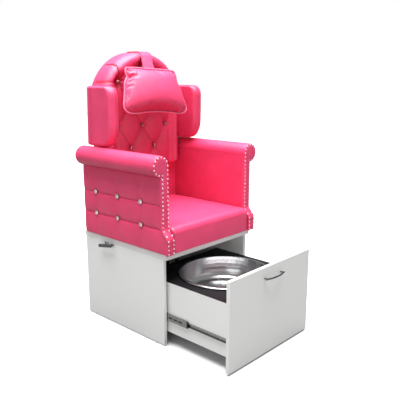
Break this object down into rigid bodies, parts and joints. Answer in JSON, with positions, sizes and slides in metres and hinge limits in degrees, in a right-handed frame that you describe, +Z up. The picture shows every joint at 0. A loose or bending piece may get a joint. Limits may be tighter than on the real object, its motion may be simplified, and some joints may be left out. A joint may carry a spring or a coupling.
{
  "type": "pedicure chair",
  "caption": "Pink tufted wing-back pedicure chair on a white cabinet with a pull-out drawer that holds a round steel foot basin, and a head pillow on a strap.",
  "frame": {"origin": "on the floor, under the middle of the whole object's bounding box with the drawer pulled out as it stands at rest", "axes": "+Z up, the sitter faces -Y and the drawer opens towards -Y, +X to the right in a front view (the sitter's left)"},
  "size_m": [0.774, 1.087, 1.4535],
  "materials": {
    "white_lacquer": "gloss white lacquer on board",
    "black_board": "dark painted board",
    "black_laminate": "black laminate",
    "timber": "bare board, hidden",
    "screw_steel": "zinc plated",
    "handle_metal": "satin nickel plate",
    "black_plastic": "moulded",
    "glide_plastic": "moulded",
    "slide_steel": "bright zinc",
    "ball_steel": "polished",
    "basin_steel": "polished stainless steel",
    "pink_vinyl": "satin artificial leather",
    "pale_piping": "satin artificial leather, paler",
    "crystal": "faceted, clear and bright",
    "nail_chrome": "polished"
  },
  "bodies": {
    "chair": {"glides": "glide_plastic", "side_panel_left": "white_lacquer", "side_panel_right": "white_lacquer", "back_panel": "black_board", "panel_dowels": "timber", "top_board": "white_lacquer", "top_cleats": "timber", "cleat_screws": "screw_steel", "chair_bolts": "screw_steel", "side_handle": "handle_metal", "side_hook": "black_plastic", "slide_outer_left": "slide_steel", "slide_outer_right": "slide_steel", "slide_screws_cabinet": "screw_steel", "seat_frame": "timber", "seat_deck": "timber", "seat_cushion": "pink_vinyl", "arm_core_left": "timber", "arm_core_right": "timber", "arm_outer_left": "pink_vinyl", "arm_outer_right": "pink_vinyl", "arm_inner_left": "pink_vinyl", "arm_inner_right": "pink_vinyl", "arm_roll_left": "pink_vinyl", "arm_roll_right": "pink_vinyl", "arm_facing_left": "pink_vinyl", "arm_facing_right": "pink_vinyl", "arm_buttons": "crystal", "arm_nails": "nail_chrome", "back_board": "timber", "back_cushion": "pink_vinyl", "back_buttons": "crystal", "lower_back_pad": "pink_vinyl", "outer_back": "pink_vinyl", "wing_left": "pink_vinyl", "wing_right": "pink_vinyl", "wing_boards": "pink_vinyl", "pillow_strap": "pink_vinyl"},
    "drawer": {"slide_inner_left": "slide_steel", "slide_inner_right": "slide_steel", "slide_screws_drawer": "screw_steel", "drawer_front": "white_lacquer", "drawer_side_left": "white_lacquer", "drawer_side_right": "white_lacquer", "drawer_box_front": "white_lacquer", "drawer_back": "white_lacquer", "drawer_bottom": "white_lacquer", "basin_shelf": "white_lacquer", "shelf_laminate": "black_laminate", "drawer_handle": "handle_metal", "handle_screws": "screw_steel"},
    "slide_mid_left": {"slide_middle_left": "slide_steel", "slide_catch_left": "black_plastic", "slide_balls_left": "ball_steel"},
    "slide_mid_right": {"slide_middle_right": "slide_steel", "slide_catch_right": "black_plastic", "slide_balls_right": "ball_steel"},
    "bowl": {"basin": "basin_steel"},
    "head_pillow": {"pillow": "pink_vinyl", "pillow_piping": "pale_piping"}
  },
  "joints": [
    {"name": "drawer_travel", "type": "slide", "parent": "chair", "child": "drawer", "axis": [0, -1, 0], "range_m": [-0.398, 0.151]},
    {"name": "slide_left_travel", "type": "slide", "parent": "chair", "child": "slide_mid_left", "axis": [0, -1, 0], "range_m": [-0.199, 0.0755]},
    {"name": "slide_right_travel", "type": "slide", "parent": "chair", "child": "slide_mid_right", "axis": [0, -1, 0], "range_m": [-0.199, 0.0755]},
    {"name": "bowl_lift", "type": "slide", "parent": "drawer", "child": "bowl", "axis": [0, 0, 1], "range_m": [0, 0.1]},
    {"name": "pillow_swing", "type": "hinge", "parent": "chair", "child": "head_pillow", "pos_m": [0, 0.3249, 1.3548], "axis": [-1, 0, 0], "range_deg": [0, 60]}
  ],
  "couplings": [
    {"joint": "slide_left_travel", "follows": "drawer_travel", "ratio": 0.5},
    {"joint": "slide_right_travel", "follows": "drawer_travel", "ratio": 0.5}
  ]
}
